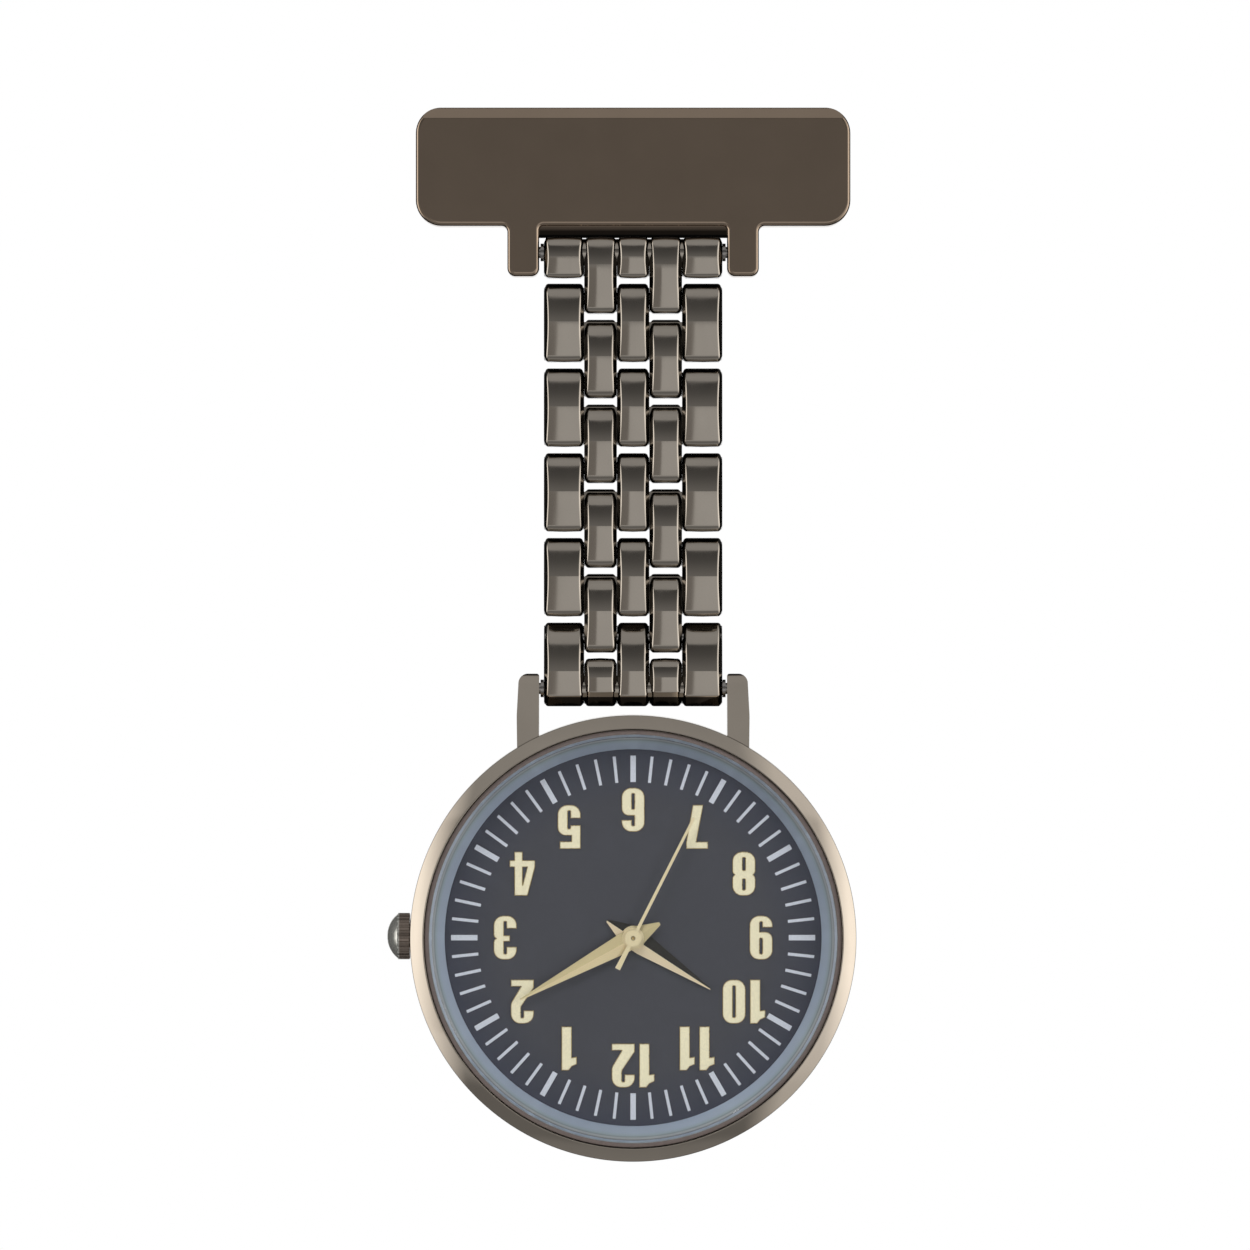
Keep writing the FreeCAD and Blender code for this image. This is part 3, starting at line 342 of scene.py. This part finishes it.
def ringed_material(name, centre, stops, roughness, metallic):
    """A satin finish whose colour changes with the distance from centre. The stops are (metres, colour)."""
    material, tree, shader = new_material(name)
    shader.inputs["Metallic"].default_value = metallic
    offset = tree.nodes.new("ShaderNodeVectorMath")
    offset.operation = "DISTANCE"
    offset.inputs[1].default_value = centre
    link(tree, place(tree), offset.inputs[0])
    share = math_node(tree, "DIVIDE", offset.outputs["Value"], HEAD_RADIUS)
    stops = [(radius / HEAD_RADIUS, colour) for radius, colour in stops]
    link(tree, ramp(tree, share, stops), shader.inputs["Base Color"])
    grain = noise(tree, 12000, 2)
    toned(tree, shader, "Roughness", grain, roughness * 0.87, roughness * 1.15)
    bump(tree, shader, grain, 0.04)
    return material


def facet_gold_with_painted_light(name, stops):
    """Pale gold for the hands, with painted light and shade: each facet gets a lighter or darker tone by the
    way it faces on the hand.
    """
    material, tree, shader = new_material(name)
    shader.inputs["Metallic"].default_value = 0.25
    facet = tree.nodes.new("ShaderNodeNewGeometry")
    own = tree.nodes.new("ShaderNodeVectorTransform")
    own.vector_type = "NORMAL"
    own.convert_from, own.convert_to = "WORLD", "OBJECT"
    facing = tree.nodes.new("ShaderNodeVectorMath")
    facing.operation = "DOT_PRODUCT"
    facing.inputs[1].default_value = (1.0, 0.0, 0.8)
    link(tree, facet.outputs["True Normal"], own.inputs[0])
    link(tree, own.outputs[0], facing.inputs[0])
    share = math_node(tree, "ADD", facing.outputs["Value"], 0.5)
    stops = [(0.5 + lean, colour) for lean, colour in stops]
    link(tree, ramp(tree, share, stops), shader.inputs["Base Color"])
    toned(tree, shader, "Roughness", noise(tree, 2500, 3), 0.29, 0.33)
    return material


def glass_material(name):
    """Clear glass. Rays from the lamps pass straight through, so that the dial is lit."""
    material = bpy.data.materials.new(name)
    material.use_nodes = True
    tree = material.node_tree
    tree.nodes.clear()
    output = tree.nodes.new("ShaderNodeOutputMaterial")
    shader = tree.nodes.new("ShaderNodeBsdfPrincipled")
    shader.inputs["Base Color"].default_value = (0.97, 0.985, 1.0, 1)
    shader.inputs["Transmission Weight"].default_value = 1.0
    shader.inputs["Roughness"].default_value = 0.0
    shader.inputs["IOR"].default_value = 1.5
    clear = tree.nodes.new("ShaderNodeBsdfTransparent")
    clear.inputs["Color"].default_value = (0.95, 0.96, 0.97, 1)
    path = tree.nodes.new("ShaderNodeLightPath")
    passes = math_node(tree, "MAXIMUM", path.outputs["Is Shadow Ray"], path.outputs["Is Diffuse Ray"])
    mix = tree.nodes.new("ShaderNodeMixShader")
    link(tree, passes, mix.inputs[0])
    link(tree, shader.outputs[0], mix.inputs[1])
    link(tree, clear.outputs[0], mix.inputs[2])
    link(tree, mix.outputs[0], output.inputs[0])
    return material


case_low, case_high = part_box("case_back")
case_centre = (case_low + case_high) / 2
dial_low, dial_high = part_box("dial")
dial_centre = (dial_low + dial_high) / 2
dial_centre.y = dial_low.y

MATERIALS = {
    "polished_steel": link_metal_with_painted_shade("gunmetal_bracelet_painted_shade", GUNMETAL),
    "case_steel": polished_metal("gunmetal_case", (0.52, 0.46, 0.39), 0.08),
    "pin_steel": brushed_metal("ground_steel", (0.42, 0.40, 0.38), 0.22),
    "needle_steel": brushed_metal("needle_steel", (0.62, 0.61, 0.60), 0.14),
    "catch_steel": polished_metal("catch_plating", (0.46, 0.42, 0.37), 0.18),
    "spring_steel": brushed_metal("spring_wire", (0.40, 0.40, 0.42), 0.3),
    "back_steel": turned_metal("case_back_steel", (0.56, 0.54, 0.50), case_centre),
    "glass": glass_material("mineral_glass"),
    "seal": soft_material("black_seal", (0.02, 0.02, 0.02), 0.55),
    "clear_seal": soft_material("nylon_ring", (0.15, 0.12, 0.11), 0.35),
    "ring_grey": ringed_material("dial_ring_satin", dial_centre, RINGS, 0.38, 0.5),
    "dial_slate": ringed_material("dial_slate", dial_centre, SLATE_WITH_RIM_SHADE, 0.48, 0.35),
    "numeral_gold": brushed_metal("numeral_outline_gold", (0.62, 0.46, 0.20), 0.30, (1, 1, 1)),
    "numeral_cream": soft_material("numeral_cream", (0.93, 0.84, 0.57), 0.5, 9000, 0.07),
    "mark_white": soft_material("minute_print", (0.66, 0.68, 0.73), 0.4, 9000, 0.06),
    "hand_gold": facet_gold_with_painted_light("pale_gold_painted_facets", FACET_LIGHT_AND_SHADE),
    "brass": turned_metal("wheel_brass", (0.70, 0.52, 0.24), dial_centre),
    "plate_metal": brushed_metal("plate_nickel", (0.60, 0.59, 0.56), 0.3),
    "white_plastic": soft_material("acetal", (0.75, 0.75, 0.72), 0.4),
    "cell": brushed_metal("cell_can", (0.66, 0.66, 0.66), 0.25),
    "board": soft_material("board_green", (0.02, 0.14, 0.06), 0.4),
    "copper": brushed_metal("copper_wire", (0.72, 0.34, 0.18), 0.3, (1, 0.1, 0.1)),
    "soft_iron": brushed_metal("stator_iron", (0.42, 0.42, 0.41), 0.4),
    "gear_steel": brushed_metal("gear_steel", (0.55, 0.54, 0.52), 0.25),
}

slots = {row["node"]: row["material_slot"] for row in frame["record"]["subparts"]}
cap_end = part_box("crown")[0].x + CROWN_CAP
# The bar and the crown get their own metal: painted shade in the bar's recess, painted light and shade on
# the crown's barrel and cap.
OWN_METAL = {
    "brooch_bar": bar_metal_with_painted_shade("gunmetal_bar_painted_shade", (0.40, 0.31, 0.235)),
    "crown": crown_metal_with_painted_light("gunmetal_crown_painted_light", cap_end, (0.27, 0.22, 0.185), (0.74, 0.74, 0.69)),
}
for node, obj in frame["nodes"].items():
    obj.data.materials.clear()
    obj.data.materials.append(OWN_METAL.get(node) or MATERIALS[slots[node]])


# ---------------------------------------------------------------- bracelet
# Lengths are in millimetres here. A block is seen from the side as (distance in front of the pins,
# height). Its front is told by tilts, in degrees: 90 faces up, 0 faces forward and -90 faces down.
MM = 0.001
HALF_THICKNESS = 1.12  # from the pins to a link's back
FACE_REACH = 1.29  # from the pins to the ridge across a block's face, at its sides
FACE_CROWN = 0.06  # how far the middle of a face stands proud of its sides
CROWN_FROM = 0.6  # the face is crowned from this far in front of the pins
OUTER_COLUMN = (3.625, 6.6)
INNER_COLUMN = (1.205, 3.615)
CENTRE_COLUMN = (-1.195, 1.195)
FACE_INSET = 0.34  # how much narrower a face is than its block, at each side
FACE_WAIST = 0.13  # and how much more midway down
EDGE_RADIUS = 0.25
FLANK = 0.42  # how far in from its face a block has its full width
BACK_FLANK = 0.18  # the same at its back
BACK_FROM = -0.5  # where its back begins
BACK_RADIUS = 0.3
SHARP_ANGLE = 28  # in degrees; edges under it are shaded smooth
SHOULDER_TILT = 42  # where the two radii of the lower end link's rolled top meet
ROLL_TILT = 15  # where a block's rolled top meets its face
RIDGE_TILT = 1.5  # just above the ridge
LOWER_TILT = -5  # just below the ridge
END_TILT = -6  # at the lower end of the face
CHAMFER_TILT = -40  # of the chamfer along the bottom of the lower end link
BEND = 0.02  # the length over which the tilt changes at a ridge
WEB_HALF_WIDTH = 6.3
WEB_BACK, WEB_FRONT = -0.9, 0.45
BARREL_HALF_LENGTH = 6.5
BARREL_BORE = 0.8
BARREL_EDGE = 0.1
BARREL_STEPS = 40
INNER_TOP = 2.66  # the inner blocks start this far below a link's top
OUTER_END = 5.82  # and the outer ones of a middle link end this far below it
UPPER_OUTER_END = 3.02  # the same on the upper end link
WEB_TOP, WEB_BOTTOM = 2.87, 5.52  # from a link's top
LOWER_PIVOT = 1.32  # from the bracelet's bottom up to the lower spring bar


def unit(degrees):
    """The point at an angle on a circle of radius 1."""
    angle = math.radians(degrees)
    return math.cos(angle), math.sin(angle)


def block_outline(top, bottom, roll, face, corner, chamfer=0.0):
    """A block's closed side outline, as (in front, height) and its normal. Its front is walked down from
    its top as stretches of (length, first tilt, last tilt, steps): the roll, the upper face, the lower
    face, and a corner or a chamfer. The roll is a list of (radius, first tilt, last tilt)."""
    last_tilt = CHAMFER_TILT if chamfer else END_TILT
    roll_drop = sum(radius * (unit(first)[1] - unit(last)[1]) for radius, first, last in roll)
    corner_drop = corner * (1 + unit(last_tilt)[1])
    lower = top - bottom - roll_drop - face - chamfer - corner_drop
    stretches = [(radius * math.radians(first - last), first, last, 10) for radius, first, last in roll]
    stretches += [
        (face - 1.5 * BEND, ROLL_TILT, RIDGE_TILT, 14),
        (BEND, RIDGE_TILT, RIDGE_TILT, 1),
        (BEND, RIDGE_TILT, LOWER_TILT, 1),
        (lower - 1.5 * BEND, LOWER_TILT, END_TILT, 5),
    ]
    if chamfer:
        stretches.append((BEND, END_TILT, CHAMFER_TILT, 1))
        stretches.append((chamfer / unit(CHAMFER_TILT)[0], CHAMFER_TILT, CHAMFER_TILT, 3))
    stretches.append((corner * math.radians(last_tilt + 90), last_tilt, -90, 9))
    u, z, path = 0.0, top, [(0.0, top, 90.0)]
    for length, first, last, steps in stretches:
        for i in range(steps):
            down, out = unit(first + (last - first) * (i + 0.5) / steps)
            u += out * length / steps
            z -= down * length / steps
            path.append((u, z, first + (last - first) * (i + 1) / steps))
    shift = FACE_REACH - max(p[0] for p in path)
    stretch = (top - bottom) / (top - path[-1][1])
    outline = [(u + shift, top - (top - z) * stretch, *unit(tilt)) for u, z, tilt in path]
    for i in range(7):
        nu, nz = unit(-90 - 15 * i)
        outline.append((BACK_RADIUS * (1 + nu) - HALF_THICKNESS, bottom + BACK_RADIUS * (1 + nz), nu, nz))
    front_top = outline[0][0]
    for i in range(1, 12):
        nu, nz = unit(180 - 7.5 * i)
        at = (front_top + (front_top + HALF_THICKNESS) * nu, top - HALF_THICKNESS * (1 - nz))
        outline.append((*at, nu, nz))
    return outline


def add_block(corners, faces, outline, column, pivot_y):
    """One block: its face is narrower than its back, with leaning flanks and rounded edges."""
    middle, half = (column[0] + column[1]) / 2, (column[1] - column[0]) / 2
    heights = [p[1] for p in outline]
    top, bottom = max(heights), min(heights)

    def add_ring(share, beside, lift):
        """One loop of corners round the outline: at a share of the face's half width and some way beside
        that, and lifted from the outline by lift, a function of the distance in front."""
        ring = []
        for u, z, nu, nz in outline:
            waist = FACE_WAIST * math.sin(math.pi * (top - z) / (top - bottom))
            x = middle + share * (half - FACE_INSET - waist) + beside
            ring.append(len(corners))
            corners.append((x * MM, (pivot_y - u - nu * lift(u)) * MM, (z + nz * lift(u)) * MM))
        return ring

    flanks = []
    for side in (-1, 1):
        flanks.append([])
        for i in range(6):
            along, across = unit(12 * i)
            sink = EDGE_RADIUS * (1 - along)
            flanks[-1].append(add_ring(side, side * EDGE_RADIUS * across, lambda u: -sink))
        flanks[-1].append(add_ring(0, side * half, lambda u: -FLANK if u > BACK_FROM else -BACK_FLANK))
    over = [flanks[0][0]]
    for share in (-0.6, 0.0, 0.6):
        rise = FACE_CROWN * (1 - share**2)
        over.append(add_ring(share, 0, lambda u: rise if u > CROWN_FROM else 0.0))
    over.append(flanks[1][0])
    for i in range(len(outline)):
        j = (i + 1) % len(outline)
        for side, rings in enumerate(flanks):
            for a, b in zip(rings, rings[1:]):
                quad = [a[i], a[j], b[j], b[i]]
                faces.append(quad if side else quad[::-1])
        for a, b in zip(over, over[1:]):
            faces.append([a[i], a[j], b[j], b[i]])
    faces.append(flanks[0][-1])
    faces.append(flanks[1][-1][::-1])


def add_web(corners, faces, top, bottom, pivot_y):
    """The recessed bar that joins a link's blocks."""
    start = len(corners)
    section = [(WEB_BACK, bottom), (WEB_FRONT, bottom), (WEB_FRONT, top), (WEB_BACK, top)]
    for x in (-WEB_HALF_WIDTH, WEB_HALF_WIDTH):
        for u, z in section:
            corners.append((x * MM, (pivot_y - u) * MM, z * MM))
    a = [start + i for i in range(8)]
    faces.extend([[a[3], a[2], a[1], a[0]], [a[4], a[5], a[6], a[7]]])
    faces.extend([[a[i], a[(i + 1) % 4], a[(i + 1) % 4 + 4], a[i + 4]] for i in range(4)])


def add_lathed(corners, faces, profile, steps, at):
    """Rings of corners, one for each point of the profile, joined by faces. at(point, angle) gives the place
    of a corner."""
    rings = []
    for point in profile:
        rings.append([])
        for i in range(steps):
            rings[-1].append(len(corners))
            corners.append(at(point, 2 * math.pi * i / steps))
    for a, b in zip(rings, rings[1:] + rings[:1]):
        for i in range(steps):
            j = (i + 1) % steps
            faces.append([a[i], a[j], b[j], b[i]])


def add_barrel(corners, faces, z, radius, pivot_y):
    """The rolled barrel of an end link, round its spring bar."""
    end, edge = BARREL_HALF_LENGTH, BARREL_EDGE
    profile = [(end, BARREL_BORE), (end, radius - edge), (end - edge, radius)]
    profile = [(-x, r) for x, r in profile] + profile[::-1]

    def at(point, angle):
        x, r = point
        return (x * MM, (pivot_y + r * math.cos(angle)) * MM, (z + r * math.sin(angle)) * MM)

    add_lathed(corners, faces, profile, BARREL_STEPS, at)


def finished_piece(name, corners, faces, node, body, slot):
    mesh = bpy.data.meshes.new(name)
    mesh.from_pydata(corners, [], faces)
    mesh.polygons.foreach_set("use_smooth", [True] * len(mesh.polygons))
    mesh.set_sharp_from_angle(angle=math.radians(SHARP_ANGLE))
    piece = bpy.data.objects.new(name, mesh)
    mesh.materials.append(MATERIALS[slot])
    bpy.context.collection.objects.link(piece)
    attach(piece, body)
    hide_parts(node)
    return piece


def rolled(radius):
    """A top rolled to one radius."""
    return [(radius, 90, ROLL_TILT)]


def bracelet_link(node, body, kind):
    low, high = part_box(node)
    top, bottom = high.z / MM, low.z / MM
    pivot_y = high.y / MM - HALF_THICKNESS
    corners, faces = [], []
    if kind == "upper":
        outer = block_outline(top, top - UPPER_OUTER_END, rolled(0.75), face=0.9, corner=0.4)
        inner = block_outline(top, bottom, rolled(0.75), face=1.5, corner=0.6)
        add_barrel(corners, faces, top - HALF_THICKNESS, 1.0, pivot_y)
    elif kind == "middle":
        outer = block_outline(top, top - OUTER_END, rolled(1.15), face=2.0, corner=0.6)
        inner = block_outline(top - INNER_TOP, bottom, rolled(1.5), face=1.65, corner=0.75)
        add_web(corners, faces, top - WEB_TOP, top - WEB_BOTTOM, pivot_y)
    else:
        shoulder = [(0.7, 90, SHOULDER_TILT), (3.2, SHOULDER_TILT, ROLL_TILT)]
        outer = block_outline(top, bottom, shoulder, face=2.05, corner=0.12, chamfer=0.74)
        inner = block_outline(top - INNER_TOP, bottom, rolled(0.8), face=0.8, corner=0.12, chamfer=1.0)
        add_barrel(corners, faces, bottom + LOWER_PIVOT, 0.95, pivot_y)
    for column, outline in (
        (OUTER_COLUMN, outer),
        ((-OUTER_COLUMN[1], -OUTER_COLUMN[0]), outer),
        (CENTRE_COLUMN, outer),
        (INNER_COLUMN, inner),
        ((-INNER_COLUMN[1], -INNER_COLUMN[0]), inner),
    ):
        add_block(corners, faces, outline, column, pivot_y)
    piece = finished_piece(f"{node}_detailed", corners, faces, node, body, "polished_steel")
    # The lower end link gets painted shade on its chamfer.
    if kind == "lower":
        piece.data.materials[0] = end_link_metal_with_painted_shade("gunmetal_end_link_painted_shade", GUNMETAL, low.z + CHAMFER_SHADE_HEIGHT)


bracelet_link("upper_end_link", "top_link", "upper")
for number in range(1, 5):
    bracelet_link(f"link_{number}", f"bracelet_link_{number}", "middle")
bracelet_link("lower_end_link", "bottom_link", "lower")


# ---------------------------------------------------------------- watch head
BEZEL_STEPS = 288
BEZEL_BORE = 0.01534
BEZEL_RIM = 0.01645
BEZEL_BEVEL = 0.00014  # of its inner edge
BEZEL_SLOPE = 0.00065  # from its inner edge back to its rim
BEZEL_TAPER = 0.00005  # how much narrower its back is


def rounded(profile, steps=6):
    """A profile of (u, v, radius) corners, with its rounded corners as arcs."""
    points = []
    for i, (u, v, radius) in enumerate(profile):
        here = Vector((u, v))
        if not radius:
            points.append((u, v))
            continue
        back = (Vector(profile[i - 1][:2]) - here).normalized()
        ahead = (Vector(profile[(i + 1) % len(profile)][:2]) - here).normalized()
        half = back.angle(ahead) / 2
        middle = here + (back + ahead).normalized() * (radius / math.sin(half))
        start = here + back * (radius / math.tan(half)) - middle
        end = here + ahead * (radius / math.tan(half)) - middle
        first = math.atan2(start.y, start.x)
        turn = (math.atan2(end.y, end.x) - first + math.pi) % (2 * math.pi) - math.pi
        for k in range(steps + 1):
            a = first + turn * k / steps
            points.append((middle.x + radius * math.cos(a), middle.y + radius * math.sin(a)))
    return points


def detailed_bezel():
    low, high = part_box("bezel")
    centre = (low + high) / 2
    profile = rounded(
        [
            (BEZEL_BORE, high.y, 0),
            (BEZEL_BORE, low.y + BEZEL_BEVEL, 0),
            (BEZEL_BORE + BEZEL_BEVEL, low.y, 0.00006),
            (BEZEL_RIM, low.y + BEZEL_SLOPE, 0.0001),
            (BEZEL_RIM - BEZEL_TAPER, high.y, 0),
        ]
    )

    def at(point, angle):
        radius, y = point
        return (centre.x + radius * math.cos(angle), y, centre.z + radius * math.sin(angle))

    corners, faces = [], []
    add_lathed(corners, faces, profile, BEZEL_STEPS, at)
    finished_piece("bezel_detailed", corners, faces, "bezel", "watch_head", "case_steel")


detailed_bezel()


# ---------------------------------------------------------------- studio
def studio_world():
    """White to the camera. Reflections see bands of light and dark in front, a soft light at each side,
    a dark room behind the watch and the white backdrop straight behind it."""
    world = bpy.data.worlds.new("studio")
    bpy.context.scene.world = world
    world.use_nodes = True
    tree = world.node_tree
    tree.nodes.clear()
    output = tree.nodes.new("ShaderNodeOutputWorld")
    room = tree.nodes.new("ShaderNodeBackground")
    white = tree.nodes.new("ShaderNodeBackground")
    white.inputs["Color"].default_value = (1, 1, 1, 1)
    mix = tree.nodes.new("ShaderNodeMixShader")
    path = tree.nodes.new("ShaderNodeLightPath")
    ray = axes(tree, place(tree, "Generated"))

    def along(axis, stops):
        """A ramp over the ray's direction along an axis, which runs from -1 to 1."""
        share = math_node(tree, "ADD", math_node(tree, "MULTIPLY", ray[axis], 0.5), 0.5)
        return ramp(tree, share, [(0.5 + position / 2, colour) for position, colour in stops])

    low_left = math_node(tree, "MULTIPLY", along("Z", LOW_LEFT_HEIGHTS), along("X", LOW_LEFT_SIDES))
    front = mixed(tree, low_left, along("Z", FRONT_BANDS), LOW_LEFT)
    front = mixed(tree, along("X", SIDE_SHARES), front, SIDE_LIGHT)
    everywhere = mixed(tree, along("Y", ROOM_SHARES), front, along("Y", ROOM))
    link(tree, everywhere, room.inputs["Color"])
    link(tree, path.outputs["Is Camera Ray"], mix.inputs[0])
    link(tree, room.outputs[0], mix.inputs[1])
    link(tree, white.outputs[0], mix.inputs[2])
    link(tree, mix.outputs[0], output.inputs[0])


def area_light(name, at, size, power):
    """A soft light that faces the picture's centre. The metal doesn't reflect it."""
    data = bpy.data.lights.new(name, "AREA")
    data.shape = "RECTANGLE"
    data.size, data.size_y = size
    data.energy = power
    light = bpy.data.objects.new(name, data)
    light.location = PICTURE_CENTRE + Vector(at)
    light.rotation_euler = (-Vector(at)).to_track_quat("-Z", "Y").to_euler()
    light.visible_glossy = False
    bpy.context.collection.objects.link(light)


def pale_floor():
    """The metal doesn't reflect this either."""
    mesh = bpy.data.meshes.new("floor")
    half, level = 0.125, -0.100
    corners = [(-half, -half, level), (half, -half, level), (half, half, level), (-half, half, level)]
    mesh.from_pydata(corners, [], [(0, 1, 2, 3)])
    floor = bpy.data.objects.new("floor", mesh)
    floor.data.materials.append(soft_material("floor_paper", (0.85, 0.85, 0.85), 0.8))
    floor.visible_glossy = False
    bpy.context.collection.objects.link(floor)


def front_camera():
    data = bpy.data.cameras.new("camera")
    data.lens = LENS
    data.sensor_width = 36.0
    camera = bpy.data.objects.new("camera", data)
    camera.location = PICTURE_CENTRE + Vector((0, -PICTURE_WIDTH * LENS / data.sensor_width, 0))
    camera.rotation_euler = (math.pi / 2, 0, 0)
    bpy.context.collection.objects.link(camera)
    bpy.context.scene.camera = camera


studio_world()
area_light("key", (-0.25, -0.45, 0.35), (0.25, 0.25), 1.6)
area_light("fill", (0.35, -0.4, 0.05), (0.2, 0.35), 0.9)
pale_floor()
front_camera()
bpy.context.scene.view_settings.view_transform = "Standard"
